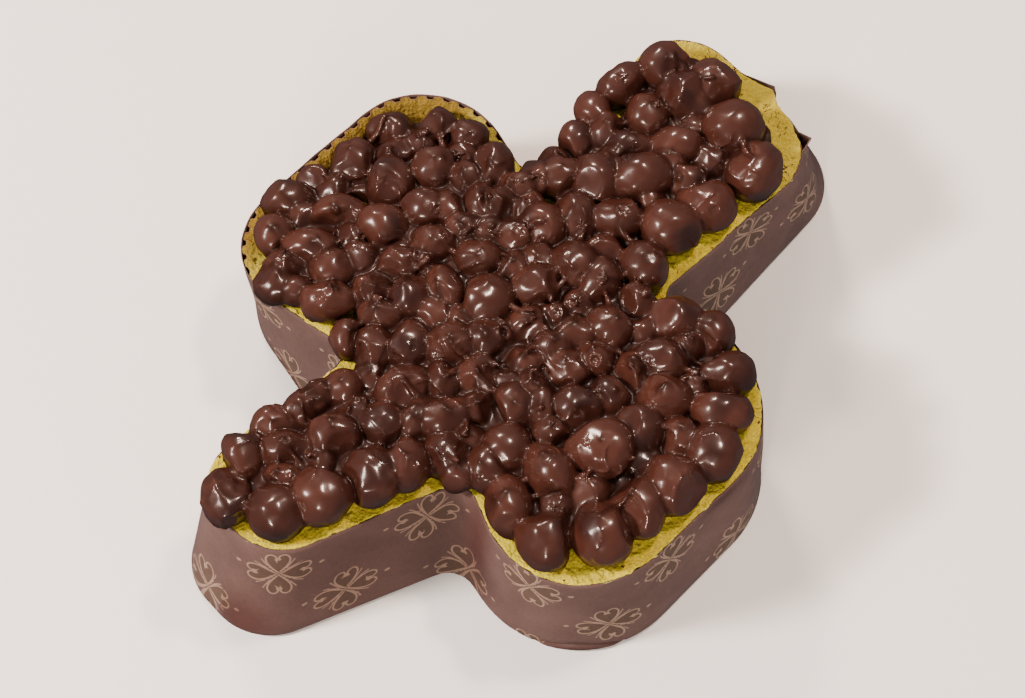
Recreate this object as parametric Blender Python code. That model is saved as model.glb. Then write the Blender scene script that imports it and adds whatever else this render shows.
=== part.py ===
"""Dove-shaped Easter bread in a corrugated paper baking case, its top covered with hazelnuts
coated in chocolate.

Frame: +X from the dove's head to its tail, +Y towards the rear wing, +Z up, with the origin
under the middle of the case, on the surface that it stands on. Sizes are in millimetres here and
become metres when a mesh is made.
"""
import math

import bmesh
import bpy
import numpy as np
from mathutils import Euler, Vector, geometry

MM = 0.001

# Driving sizes of the case, in millimetres
CASE_HEIGHT = 52.0
FLOOR_THICKNESS = 1.2
SHEET_THICKNESS = 0.9
FLUTE_DEPTH = 1.5
FLUTE_PITCH = 6.4
GAP = 0.3
SIDE_GAP = 1.1
TEAR_MIDDLE = (122.0, 36.0)
TEAR_WIDTH = 13.0
TEAR_DEPTH = 5.0

# The dove's corners, in order round it: x, y and fillet radius at the base, then at the rim
CORNERS = {
    "head_front": ((-143, -26, 25), (-130, -22, 22)),
    "neck_front": ((-68, -46, 10), (-58, -39, 7)),
    "front_wing_head": ((-74, -111, 41), (-78, -104, 34)),
    "front_wing_tail": ((62, -93, 54), (64, -90, 42)),
    "rump_front": ((45, -31, 8), (38, -23, 7)),
    "tail_front": ((147, -12, 27), (122, -17, 24)),
    "tail_rear": ((141, 65, 21), (119, 64, 21)),
    "rump_rear": ((36, 46, 8), (30, 39, 6)),
    "rear_wing_tail": ((46, 107, 30), (43, 106, 32)),
    "rear_wing_head": ((-68, 98, 38), (-80, 87, 28)),
    "neck_rear": ((-74, 26, 8), (-60, 23, 6)),
    "head_rear": ((-147, 24, 24), (-128, 20, 16)),
}
ARC_STEPS = 6
STRAIGHT_STEPS = 4

# Crumb: its top stands just under the rim, swells in the middle and has sunk at the rear wing
CRUMB_BELOW_RIM = 1.6
CRUMB_EDGE_DROP = 1.4
CRUMB_EDGE_WIDTH = 3.0
CRUMB_SWELL = 3.5
CRUMB_SWELL_REACH = 24.0
SINK_DEPTH = 9.0
SINK_MIDDLE_X = -4.0
SINK_SPREAD_X = 50.0
SINK_START_Y = 39.0
SINK_REACH = 60.0
CRUMB_MESH_STEP = 13.0
PATCH_MARGIN = 0.4

# Topping: a chocolate layer with the nuts standing out of it
LAYER_INSET = 10.0
LAYER_LIFT = 0.7
LAYER_THICKNESS = 6.0
LAYER_MESH_STEP = 16.0
ROW_INSET = 10.8
ROW_PITCH = 15.6
ROW_SHIFT = 1.0
ROW_NUT = (13.5, 18.5)
FIELD_INSET = 18.5
FIELD_PITCH = 13.6
FIELD_SHIFT = 3.5
FIELD_NUT = (12.5, 17.5)
SPREAD_REACH = 17.5
SPREAD_ROUNDS = 60
SPREAD_SHARE = 0.12
NUT_STRETCH = (1.0, 1.14)
NUT_TALLNESS = (0.9, 1.0)
NUT_TILT = math.radians(14)
NUT_LIFT = 0.38
NUT_LEAST_LIFT = 5.5
NUT_RAISE = (-0.8, 1.2)
NUT_FOOT = 0.9
FACET_ALLOWANCE = 1.04
TOPPING_TRIANGLES = 10000
SEED = 7

# Where the edge row stands further in, or, below zero, further out over the rim: the middle of
# the stretch, its reach and the distance
ROW_SETBACKS = {
    "head_tip": ((-128, 2), 18, -6.0),
    "tail_end": ((118, 26), 34, 8.0),
    "tail_rear": ((72, 55), 20, -5.0),
    "rear_wing_shoulder": ((26, 92), 30, 4.0),
    "rear_wing_neck": ((-68, 50), 26, -2.5),
}


def lerp(a, b, t):
    return a + (b - a) * t


def rounded_outline(level, inset):
    """Dove outline at a level from 0, the base, to 1, the rim, moved inwards by an inset."""
    corners = [lerp(np.array(low, float), np.array(high, float), level)
               for low, high in CORNERS.values()]
    points = []
    for index, (x, y, radius) in enumerate(corners):
        corner = np.array((x, y))
        to_last = corners[index - 1][:2] - corner
        to_next = corners[(index + 1) % len(corners)][:2] - corner
        to_last /= np.linalg.norm(to_last)
        to_next /= np.linalg.norm(to_next)
        half = math.acos(np.clip(to_last @ to_next, -1, 1)) / 2
        convex = to_last[1] * to_next[0] - to_last[0] * to_next[1] > 0
        side = 1 if convex else -1
        radius = max(radius - side * inset, 2.0)
        middle = (to_last + to_next) / np.linalg.norm(to_last + to_next)
        corner = corner + side * middle * inset / math.sin(half)
        centre = corner + middle * radius / math.sin(half)
        start = corner + to_last * radius / math.tan(half) - centre
        end = corner + to_next * radius / math.tan(half) - centre
        first = math.atan2(start[1], start[0])
        turn = (math.atan2(end[1], end[0]) - first + math.pi) % (2 * math.pi) - math.pi
        for step in range(ARC_STEPS + 1):
            angle = first + turn * step / ARC_STEPS
            points.append(centre + radius * np.array((math.cos(angle), math.sin(angle))))
    outline = []
    for index, point in enumerate(points):
        following = points[(index + 1) % len(points)]
        steps = STRAIGHT_STEPS if index % (ARC_STEPS + 1) == ARC_STEPS else 1
        outline += [lerp(point, following, step / steps) for step in range(steps)]
    return np.array(outline)


def wall_line(height, inset):
    """Dove outline on the wall's ruled face at a height, moved inwards by an inset."""
    return lerp(rounded_outline(0, inset), rounded_outline(1, inset), height / CASE_HEIGHT)


def wall_places(heights, inset, stations):
    """Places on the wall's ruled face, one at each station, each at its own height."""
    low, high = (at_stations(rounded_outline(level, inset), stations) for level in (0, 1))
    return lerp(low, high, heights[:, None] / CASE_HEIGHT)


def even_stations(outline, pitch, multiple):
    """Fractional indices of evenly spaced places round an outline, a multiple of them."""
    steps = np.linalg.norm(np.roll(outline, -1, axis=0) - outline, axis=1)
    travelled = np.concatenate(([0], np.cumsum(steps)))
    count = multiple * round(travelled[-1] / pitch / multiple)
    wanted = np.arange(count) * travelled[-1] / count
    return np.interp(wanted, travelled, np.arange(len(travelled)))


def at_stations(outline, stations):
    """Places on an outline at fractional indices."""
    closed = np.vstack((outline, outline[:1]))
    index = np.arange(len(closed))
    return np.column_stack([np.interp(stations, index, closed[:, k]) for k in (0, 1)])


def depth_inside(points, outline):
    """How far each point lies inside an outline, negative outside it."""
    start, end = outline, np.roll(outline, -1, axis=0)
    along = end - start
    offset = points[:, None] - start
    share = np.clip((offset * along).sum(2) / (along ** 2).sum(1), 0, 1)
    nearest = np.linalg.norm(offset - along * share[..., None], axis=2).min(1)
    rises = (start[:, 1] > points[:, 1, None]) != (end[:, 1] > points[:, 1, None])
    slope = np.where(along[:, 1] == 0, 1, along[:, 1])
    cross_x = start[:, 0] + (points[:, 1, None] - start[:, 1]) * along[:, 0] / slope
    inside = (rises & (points[:, 0, None] < cross_x)).sum(1) % 2 == 1
    return np.where(inside, nearest, -nearest)


def crumb_height(points):
    """Height of the crumb's top over the surface that the case stands on."""
    depth = np.maximum(depth_inside(points, CRUMB_EDGE), 0)
    edge = CRUMB_EDGE_DROP * np.clip(1 - depth / CRUMB_EDGE_WIDTH, 0, 1) ** 2
    swell = CRUMB_SWELL * (1 - np.exp(-depth / CRUMB_SWELL_REACH))
    sink_x = np.exp(-((points[:, 0] - SINK_MIDDLE_X) / SINK_SPREAD_X) ** 2)
    sink_y = np.clip((points[:, 1] - SINK_START_Y) / SINK_REACH, 0, 1)
    sink = SINK_DEPTH * sink_x * sink_y ** 2 * (3 - 2 * sink_y)
    return CASE_HEIGHT - CRUMB_BELOW_RIM - edge + swell - sink


def support_height(points):
    """Lowest height that the topping may reach: the crumb, and the rim near the case's wall."""
    over_rim = depth_inside(points, RIM) < CRUMB_EDGE_WIDTH + SHEET_THICKNESS + FLUTE_DEPTH
    return np.where(over_rim, np.maximum(crumb_height(points), CASE_HEIGHT), crumb_height(points))


def patch(outline, step):
    """Flat triangles that fill an outline, with a staggered grid of points inside it."""
    low, high = outline.min(0), outline.max(0)
    rows = np.arange(low[1] + step / 2, high[1], step * math.sqrt(0.75))
    grid = [(x + (row % 2) * step / 2, y) for row, y in enumerate(rows)
            for x in np.arange(low[0], high[0], step)]
    grid = np.array(grid)
    grid = grid[depth_inside(grid, outline) > step * PATCH_MARGIN]
    points = [Vector(p) for p in np.vstack((outline, grid))]
    result = geometry.delaunay_2d_cdt(points, [], [list(range(len(outline)))], 1, 1e-6)
    return np.array([tuple(p) for p in result[0]]), [list(face) for face in result[2]]


def material(name, colour, roughness, coat=0.0):
    mat = bpy.data.materials.new(name)
    mat.use_nodes = True
    shader = mat.node_tree.nodes["Principled BSDF"]
    shader.inputs["Base Color"].default_value = (*colour, 1)
    shader.inputs["Roughness"].default_value = roughness
    shader.inputs["Metallic"].default_value = 0
    shader.inputs["Coat Weight"].default_value = coat
    mat.diffuse_color = (*colour, 1)
    return mat


def add_object(name, vertices, faces, mat):
    """Object from a mesh in millimetres, triangulated and with its faces pointing out."""
    mesh = bpy.data.meshes.new(name)
    mesh.from_pydata([Vector(v) * MM for v in vertices], [], faces)
    shape = bmesh.new()
    shape.from_mesh(mesh)
    bmesh.ops.triangulate(shape, faces=shape.faces)
    bmesh.ops.recalc_face_normals(shape, faces=shape.faces)
    shape.to_mesh(mesh)
    shape.free()
    mesh.materials.append(mat)
    obj = bpy.data.objects.new(name, mesh)
    bpy.context.scene.collection.objects.link(obj)
    return obj


def ring_walls(rings):
    """Side faces between rings of equal length, given as lists of vertex numbers."""
    faces = []
    for lower, upper in zip(rings, rings[1:]):
        for k, corner in enumerate(lower):
            faces.append((corner, lower[(k + 1) % len(lower)], upper[(k + 1) % len(upper)], upper[k]))
    return faces


def slab(outline, step, lower, upper):
    """Vertices and faces of a slab between two heights, each a function of places."""
    places, faces = patch(outline, step)
    count, border = len(places), len(outline)
    vertices = [*np.column_stack((places, lower(places))), *np.column_stack((places, upper(places)))]
    bottom = [face[::-1] for face in faces]
    top = [[count + v for v in face] for face in faces]
    sides = ring_walls([list(range(border)), list(range(count, count + border))])
    return vertices, bottom + top + sides


def build_case():
    """Paper tray: a plain outer face, a fluted inner face and a short tear in the tail's rim."""
    stations = even_stations(RIM, FLUTE_PITCH / 2, 2)
    rim_height = np.full(len(stations), CASE_HEIGHT)
    from_tear = np.linalg.norm(at_stations(RIM, stations) - TEAR_MIDDLE, axis=1)
    rim_height -= TEAR_DEPTH * np.clip(2 - 4 * from_tear / TEAR_WIDTH, 0, 1)

    def ring(heights, fluted):
        places = wall_places(heights, SHEET_THICKNESS if fluted else 0, stations)
        if fluted:
            crests = wall_places(heights, SHEET_THICKNESS + FLUTE_DEPTH, stations)
            places[1::2] = crests[1::2]
        return np.column_stack((places, heights))

    level = np.ones(len(stations))
    rings = [ring(0 * level, False), ring(rim_height, False),
             ring(rim_height, True), ring(FLOOR_THICKNESS * level, True)]
    vertices = np.vstack(rings)
    numbers = np.arange(len(vertices)).reshape(len(rings), -1).tolist()
    faces = ring_walls(numbers) + [numbers[0][::-1], numbers[-1]]
    paper = material("paper_brown", (0.205, 0.13, 0.118), 0.62)
    return add_object("paper_case", vertices, faces, paper)


def build_cake():
    """Crumb that fills the case: ruled sides and a swelling top."""
    bottom = FLOOR_THICKNESS + GAP
    inset = SHEET_THICKNESS + FLUTE_DEPTH + SIDE_GAP
    places, top_faces = patch(CRUMB_EDGE, CRUMB_MESH_STEP)
    border = len(CRUMB_EDGE)
    top = np.column_stack((places, crumb_height(places)))
    lower = wall_line(bottom, inset)
    middle = wall_line(CASE_HEIGHT / 2, inset)
    vertices = [*top, *np.column_stack((middle, np.full(border, CASE_HEIGHT / 2))),
                *np.column_stack((lower, np.full(border, bottom)))]
    numbers = [list(range(len(places) + start, len(places) + start + border)) for start in (border, 0)]
    faces = top_faces + ring_walls([*numbers, list(range(border))]) + [numbers[0][::-1]]
    crumb = material("yellow_crumb", (0.62, 0.42, 0.045), 0.85)
    return add_object("cake", vertices, faces, crumb)


def edge_row():
    """Middles of the nuts along the edge, set further in or out where the real ones are."""
    line = rounded_outline(1, ROW_INSET)
    stations = even_stations(line, ROW_PITCH, 1)
    row = at_stations(line, stations)
    inwards = at_stations(rounded_outline(1, ROW_INSET + 1), stations) - row
    for middle, reach, setback in ROW_SETBACKS.values():
        nearness = np.clip(1 - np.linalg.norm(row - middle, axis=1) / reach, 0, 1)
        row = row + inwards * (setback * nearness * (2 - nearness))[:, None]
    return row


def nut_places(draw):
    """Middles and widths of the nuts: a row along the edge, then a loosely packed field."""
    row = edge_row()
    row = row + draw.uniform(-ROW_SHIFT, ROW_SHIFT, row.shape)
    row_widths = draw.uniform(*ROW_NUT, len(row))

    low, high = RIM.min(0), RIM.max(0)
    lines = np.arange(low[1], high[1], FIELD_PITCH * math.sqrt(0.75))
    field = [(x + (line % 2) * FIELD_PITCH / 2, y) for line, y in enumerate(lines)
             for x in np.arange(low[0], high[0], FIELD_PITCH)]
    field = np.array(field)
    field = field[depth_inside(field, RIM) > FIELD_INSET]
    field = field + draw.uniform(-FIELD_SHIFT, FIELD_SHIFT, field.shape)
    field_widths = draw.uniform(*FIELD_NUT, len(field))
    for _ in range(SPREAD_ROUNDS):
        away = field[:, None] - np.vstack((row, field))
        apart = np.linalg.norm(away, axis=2)
        np.fill_diagonal(apart[:, len(row):], np.inf)
        push = np.clip(SPREAD_REACH - apart, 0, None) * SPREAD_SHARE
        field = field + (away / apart[..., None] * push[..., None]).sum(1)
    return np.vstack((row, field)), np.concatenate((row_widths, field_widths))


def build_topping():
    """Chocolate layer with the nuts that stand out of it fused on."""
    chocolate = material("milk_chocolate", (0.062, 0.02, 0.014), 0.22, coat=0.6)
    outline = rounded_outline(1, LAYER_INSET)
    vertices, faces = slab(outline, LAYER_MESH_STEP,
                           lambda places: crumb_height(places) + LAYER_LIFT,
                           lambda places: crumb_height(places) + LAYER_THICKNESS)
    topping = add_object("chocolate_hazelnuts", vertices, faces, chocolate)

    draw = np.random.default_rng(SEED)
    places, widths = nut_places(draw)
    grounds = crumb_height(places)
    nuts = bpy.data.collections.new("nuts")
    bpy.context.scene.collection.children.link(nuts)
    for place, width, ground in zip(places, widths, grounds):
        stretch = draw.uniform(*NUT_STRETCH)
        radii = Vector((width * stretch, width / stretch, width * draw.uniform(*NUT_TALLNESS))) / 2
        turn = Euler((draw.uniform(-1, 1) * NUT_TILT, draw.uniform(-1, 1) * NUT_TILT,
                      draw.uniform(0, math.pi)))
        lift = max(width * NUT_LIFT, NUT_LEAST_LIFT) + draw.uniform(*NUT_RAISE)
        middle = Vector((*place, ground + lift))
        shape = bmesh.new()
        bmesh.ops.create_icosphere(shape, subdivisions=2, radius=FACET_ALLOWANCE)
        for vertex in shape.verts:
            swept = Vector(vertex.co[k] * radii[k] for k in range(3))
            swept.rotate(turn)
            vertex.co = swept + middle
        supports = support_height(np.array([vertex.co.xy for vertex in shape.verts]))
        for vertex, support in zip(shape.verts, supports):
            vertex.co.z = max(vertex.co.z, support + NUT_FOOT)
            vertex.co *= MM
        mesh = bpy.data.meshes.new("nut")
        shape.to_mesh(mesh)
        shape.free()
        nuts.objects.link(bpy.data.objects.new("nut", mesh))

    join = topping.modifiers.new("join", "BOOLEAN")
    join.operation = "UNION"
    join.solver = "MANIFOLD"
    join.operand_type = "COLLECTION"
    join.collection = nuts
    bpy.context.view_layer.update()
    joined = bpy.data.meshes.new_from_object(topping.evaluated_get(bpy.context.evaluated_depsgraph_get()))
    topping.modifiers.remove(join)
    topping.data = joined
    topping.data.materials.clear()
    topping.data.materials.append(chocolate)
    for nut in list(nuts.objects):
        bpy.data.objects.remove(nut)
    bpy.data.collections.remove(nuts)
    keep_largest_body(topping.data)
    thin_out(topping, TOPPING_TRIANGLES)
    return topping


def keep_largest_body(mesh):
    """Drops loose scraps and the walls of sealed hollows."""
    shape = bmesh.new()
    shape.from_mesh(mesh)
    bmesh.ops.triangulate(shape, faces=shape.faces)
    bmesh.ops.triangulate(shape, faces=shape.faces)
    waiting = set(shape.verts)
    bodies = []
    while waiting:
        body, front = set(), [waiting.pop()]
        while front:
            vertex = front.pop()
            body.add(vertex)
            linked = {edge.other_vert(vertex) for edge in vertex.link_edges} & waiting
            waiting -= linked
            front += linked
        bodies.append(body)
    bodies.sort(key=len)
    for body in bodies[:-1]:
        bmesh.ops.delete(shape, geom=list(body), context="VERTS")
    shape.to_mesh(mesh)
    shape.free()


def thin_out(obj, triangles):
    """Collapses the shortest edges, which the union leaves where nuts meet."""
    thinner = obj.modifiers.new("thinner", "DECIMATE")
    thinner.ratio = triangles / len(obj.data.polygons)
    thinner.use_collapse_triangulate = True


for old in list(bpy.data.objects):
    bpy.data.objects.remove(old, do_unlink=True)

RIM = rounded_outline(1, 0)
CRUMB_EDGE = rounded_outline(1, SHEET_THICKNESS + FLUTE_DEPTH + SIDE_GAP)
build_case()
build_cake()
build_topping()
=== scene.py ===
"""Dove-shaped Easter bread in its printed paper case, under hazelnuts coated in chocolate."""

import math

import bmesh
import bpy
import numpy as np
import openvdb
from mathutils import Matrix, Vector, geometry


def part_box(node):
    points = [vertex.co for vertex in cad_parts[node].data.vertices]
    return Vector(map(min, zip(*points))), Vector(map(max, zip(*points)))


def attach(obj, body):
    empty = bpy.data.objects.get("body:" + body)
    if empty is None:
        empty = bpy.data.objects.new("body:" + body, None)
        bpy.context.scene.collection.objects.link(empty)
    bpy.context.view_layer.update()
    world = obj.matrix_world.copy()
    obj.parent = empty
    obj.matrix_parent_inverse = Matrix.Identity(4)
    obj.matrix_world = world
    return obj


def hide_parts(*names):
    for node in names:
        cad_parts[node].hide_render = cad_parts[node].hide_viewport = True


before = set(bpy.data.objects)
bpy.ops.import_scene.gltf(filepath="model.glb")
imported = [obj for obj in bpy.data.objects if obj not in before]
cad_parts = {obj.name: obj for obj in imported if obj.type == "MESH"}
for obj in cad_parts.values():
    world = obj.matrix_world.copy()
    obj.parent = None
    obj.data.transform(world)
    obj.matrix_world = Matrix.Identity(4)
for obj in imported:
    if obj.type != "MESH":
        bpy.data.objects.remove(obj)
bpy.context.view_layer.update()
MM = 0.001


# The printed outer sheet of the baking case: one strip of thin glazed paper, brown with a mauve
# cast, printed all over with pale four-petalled blossoms, bent round the dove's outline and glued
# to the corrugated liner. Its rim is cut straight and has torn and curled at the tail's end.

CASE_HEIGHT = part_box("paper_case")[1][2] / MM
# The dove's corners in order round it: x, y and fillet radius at the base, then at the rim
CORNERS = {
    "head_front": ((-143, -26, 25), (-130, -22, 22)),
    "neck_front": ((-68, -46, 10), (-58, -39, 7)),
    "front_wing_head": ((-74, -111, 41), (-78, -104, 34)),
    "front_wing_tail": ((65.7, -91.2, 41.5), (65.5, -89.3, 40)),
    "rump_front": ((43, -33, 6.5), (36, -25.5, 5)),
    "tail_front": ((147, -12, 27), (122, -17, 24)),
    "tail_rear": ((141, 65, 21), (119, 64, 21)),
    "rump_rear": ((36, 46, 8), (30, 39, 6)),
    "rear_wing_tail": ((46, 107, 30), (43, 106, 32)),
    "rear_wing_head": ((-68, 98, 38), (-80, 87, 28)),
    "neck_rear": ((-74, 26, 8), (-60, 23, 6)),
    "head_rear": ((-147, 24, 24), (-128, 20, 16)),
}
SHEET_THICKNESS = 0.35
# Steps round each corner, where the paper is made and where it is only measured from
FINE_ARC = 20
COARSE_ARC = 6
STRAIGHT_STEPS = 8
# The tear at the tail's end is a short dip in the rim. Each of its two corners has its distance
# from the tear's middle, the bend's reach before and after it, and how far it is bent outwards
TEAR_TRAVEL = 401.8
TEAR_HALF_WIDTH = 6.0
TEAR_DEPTH = 5.0
TEAR_CORNERS = ((-14.2, 6.5, 2.2, 5.0), (8.2, 7.0, 12.0, 5.4))
BEND_DEPTH = 7.0
# The lip where the sheet is folded under at the front wing's foot
FOLD_TRAVEL = 139.0
FOLD_HALF_LENGTH = 17.0
FOLD_RISE = 4.2
# Darker patches on the sheet, partly butter stains and partly painted shade in the neck notch and
# over the head's wall: travel and height of each patch, its half-width and half-height, and its
# strength
GREASE_AND_SHADE_PATCHES = (
    (10, 7, 12, 13, 1), (48, 24, 38, 45, 0.45), (96, 28, 8, 32, 1), (203, 48, 12, 4, 1),
    (727, 2, 20, 4, 1), (392, 22, 10, 20, 1), (139, 1, 18, 3.2, 1),
)
GREASE_AND_SHADE_TINT = (0.6, 0.46, 0.45)
GLAZED_BROWN = (0.082, 0.0485, 0.0425)
OLIVE_BROWN = (0.073, 0.045, 0.034)
PALE_BEIGE = (0.20, 0.135, 0.098)


def lerp(a, b, t):
    return a + (b - a) * t


def smooth_step(value):
    value = np.clip(value, 0, 1)
    return value * value * (3 - 2 * value)


def dove_outline(level, inset, arc_steps):
    """Dove outline from level 0, the base, to 1, the rim, moved inwards by an inset."""
    corners = [lerp(np.array(low, float), np.array(high, float), level)
               for low, high in CORNERS.values()]
    points = []
    for index, (x, y, radius) in enumerate(corners):
        corner = np.array((x, y))
        to_last = corners[index - 1][:2] - corner
        to_next = corners[(index + 1) % len(corners)][:2] - corner
        to_last /= np.linalg.norm(to_last)
        to_next /= np.linalg.norm(to_next)
        half = math.acos(np.clip(to_last @ to_next, -1, 1)) / 2
        side = 1 if to_last[1] * to_next[0] > to_last[0] * to_next[1] else -1
        radius = max(radius - side * inset, 2.0)
        middle = (to_last + to_next) / np.linalg.norm(to_last + to_next)
        corner = corner + side * middle * inset / math.sin(half)
        centre = corner + middle * radius / math.sin(half)
        start = corner + to_last * radius / math.tan(half) - centre
        end = corner + to_next * radius / math.tan(half) - centre
        first = math.atan2(start[1], start[0])
        turn = (math.atan2(end[1], end[0]) - first + math.pi) % (2 * math.pi) - math.pi
        for step in range(arc_steps + 1):
            angle = first + turn * step / arc_steps
            points.append(centre + radius * np.array((math.cos(angle), math.sin(angle))))
    outline = []
    for index, point in enumerate(points):
        following = points[(index + 1) % len(points)]
        steps = STRAIGHT_STEPS if index % (arc_steps + 1) == arc_steps else 1
        outline += [lerp(point, following, step / steps) for step in range(steps)]
    return np.array(outline)


def path_lengths(outline):
    """Distance travelled round a closed outline at each of its points and at its end."""
    steps = np.linalg.norm(np.roll(outline, -1, axis=0) - outline, axis=1)
    return np.concatenate(([0], np.cumsum(steps)))


def along_outline(outline, stations):
    """Places on a closed outline at fractional indices."""
    closed = np.vstack((outline, outline[:1]))
    index = np.arange(len(closed))
    return np.column_stack([np.interp(stations, index, closed[:, k]) for k in (0, 1)])


WALL_TRAVEL = path_lengths(dove_outline(0.5, 0, FINE_ARC))
WALL_LENGTH = WALL_TRAVEL[-1]


def wave(travel, count, phase=0.0):
    """A sine with a whole number of waves round the wall, so that it closes on itself."""
    return np.sin(2 * math.pi * count * travel / WALL_LENGTH + phase)


def wall_places(travel, height, inset):
    """Points of the wall's leaning face at distances round it, at heights, at an inset."""
    index = np.arange(len(WALL_TRAVEL))
    here, ahead, behind = (np.interp((travel + step) % WALL_LENGTH, WALL_TRAVEL, index)
                           for step in (0, 0.5, -0.5))
    base, rim = (dove_outline(level, 0, FINE_ARC) for level in (0, 1))
    share = (height / CASE_HEIGHT)[:, None]
    places, before, after = (lerp(along_outline(base, s), along_outline(rim, s), share)
                             for s in (here, behind, ahead))
    forward = (after - before) / np.linalg.norm(after - before, axis=1)[:, None]
    inward = np.column_stack((-forward[:, 1], forward[:, 0]))
    return np.column_stack((places + inward * np.reshape(inset, (-1, 1)), height))


def rim_height(travel, torn=True):
    """Height of the paper's cut rim, a little uneven, with its dip at the tear if asked for."""
    from_tear = np.abs(travel - TEAR_TRAVEL)
    dip = TEAR_DEPTH * smooth_step((TEAR_HALF_WIDTH + 2.5 - from_tear) / 3)
    ragged = 0.5 * wave(travel, 385) * smooth_step((TEAR_HALF_WIDTH + 4 - from_tear) / 3)
    wavy = 0.18 * wave(travel, 28) + 0.12 * wave(travel, 76, 1)
    return CASE_HEIGHT - 0.3 + wavy + (ragged - dip) * torn


def sheet_inset(travel, height, bent=1.0):
    """Inset of the sheet's outer face: dents, a lip at the front wing's foot, bent corners."""
    dents = 0.45 * wave(travel, 6, height / 31) * wave(travel, 12, 2 - height / 17)
    dents += 0.25 * wave(travel, 18, 0.6 * np.sin(height / 9))
    dents *= smooth_step(height / 14) * (1 - 0.5 * smooth_step((height - 36) / 16))
    foot = 1.1 * (1 - smooth_step(height / 1.6))
    fold_line = FOLD_RISE * (1 - ((travel - FOLD_TRAVEL) / FOLD_HALF_LENGTH) ** 2)
    lip = 0.5 * smooth_step(fold_line - height) - np.exp(-((height - fold_line - 0.3) / 0.7) ** 2)
    bend = np.zeros(len(travel))
    for corner, before, after, outward in TEAR_CORNERS:
        reach = (corner - before, corner, corner + after)
        bend += outward * np.interp(travel - TEAR_TRAVEL, reach, (0, 1, 0))
    bend = bend * smooth_step((height - CASE_HEIGHT + BEND_DEPTH) / BEND_DEPTH) * bent
    return 0.5 + dents * 0.8 + foot - lip * smooth_step(fold_line / 1.5) - bend


# The blossom printed on the sheet, in millimetres round its centre: heart-shaped petals whose
# outline curls in at the notch, thin strokes between them, and a dot on either side
PRINT_LINE = 0.7
STROKE_LINE = 0.5
CURL_BALL = 1.4
PETAL_REACH = 11.2
DOT_WIDTH = 1.3
DOT_LENGTH = 1.0
DOT_OFFSET = 15.0
# Travel and height of each blossom's centre, staggered up and down round the whole wall
BLOSSOM_SPOTS = (
    (21, 38), (46.5, 16), (74.5, 40), (91, 8.5), (123.5, 42), (150.5, 18), (177.5, 40), (209, 8.5),
    (235, 40), (261, 17), (288, 40), (317, 20.5), (340, 39.5), (368, 23.5), (394, 40),
    (420, 9), (446, 40), (472, 17), (498, 40), (524, 9), (550, 40), (576, 17), (602, 40),
    (628, 9), (654, 40), (680, 17), (706.5, 35.5), (727, 7.5), (752.5, 40), (777.5, 17),
    (802.5, 40), (828, 9.5), (122, -6),
)
BLOSSOM_TURNS = (0.1, 0.05, -0.2, 0.25)


def bezier(a, b, c, d, steps, size=1.0):
    t = np.linspace(0, 1, steps)[:, None]
    a, b, c, d = (np.array(p, float) * size for p in (a, b, c, d))
    return a * (1 - t) ** 3 + 3 * b * t * (1 - t) ** 2 + 3 * c * t * t * (1 - t) + d * t ** 3


def turned(points, angle):
    points = np.asarray(points, float)
    (x, y), c, s = points.T, math.cos(angle), math.sin(angle)
    return np.column_stack((x * c - y * s, x * s + y * c))


def petal_side(side):
    """Half of a petal's outline, from the blossom's middle round a lobe into the notch."""
    lobe = bezier((0.05, 0), (0.34, 0.22), (0.68, 0.53), (0.97, 0.30), 13, PETAL_REACH)
    curl = bezier((0.97, 0.30), (1.10, 0.12), (0.88, -0.02), (0.73, 0.05), 9, PETAL_REACH)
    return np.vstack((lobe, curl[1:])) * (1, side)


def blossom_lines():
    """Centre lines of the printed strokes of one blossom, each with its width."""
    lines = []
    for quarter in range(4):
        for side in (1, -1):
            outline = petal_side(side)
            lines.append((turned(outline, quarter * math.pi / 2), PRINT_LINE))
            lines.append((turned(outline[-2:], quarter * math.pi / 2), CURL_BALL))
            stroke = bezier((3.2, 0), (6, 0), (8.2, 0.3 * side), (10.2, 0.8 * side), 6)
            lines.append((turned(stroke, (quarter + 0.5) * math.pi / 2 + 0.1 * side), STROKE_LINE))
    return lines


def blossom_petals():
    """Closed outlines of the printed petals."""
    halves = [petal_side(side) for side in (1, -1)]
    petal = np.vstack((halves[0], halves[1][::-1]))
    return [turned(petal, quarter * math.pi / 2) for quarter in range(4)]


def blossom_centres():
    """Centres and turns of the blossoms, repeated past both ends of the strip."""
    for index, (travel, height) in enumerate(BLOSSOM_SPOTS):
        for lap in (-WALL_LENGTH, 0, WALL_LENGTH):
            yield np.array((travel + lap, height)), BLOSSOM_TURNS[index % 4]


def near_line(points, line):
    """Distance of points from a polyline."""
    start, along = line[:-1], np.diff(line, axis=0)
    offset = points[:, None] - start
    share = np.clip((offset * along).sum(2) / (along ** 2).sum(1), 0, 1)
    return np.linalg.norm(offset - along * share[..., None], axis=2).min(1)


def inside_loop(points, loop):
    """Which points lie inside a closed loop."""
    end = np.roll(loop, -1, axis=0)
    rises = (loop[:, 1] > points[:, 1, None]) != (end[:, 1] > points[:, 1, None])
    run = np.where(end[:, 1] == loop[:, 1], 1, end[:, 1] - loop[:, 1])
    cross = loop[:, 0] + (points[:, 1, None] - loop[:, 1]) * (end[:, 0] - loop[:, 0]) / run
    return (rises & (points[:, 0, None] < cross)).sum(1) % 2 == 1


def stroke_sides(line, width):
    """Points down both sides of a stroke, so that triangles follow its edges."""
    tangent = np.gradient(line, axis=0)
    tangent /= np.linalg.norm(tangent, axis=1)[:, None]
    normal = np.column_stack((-tangent[:, 1], tangent[:, 0])) * width / 2
    return np.vstack((line + normal, line - normal))


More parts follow.
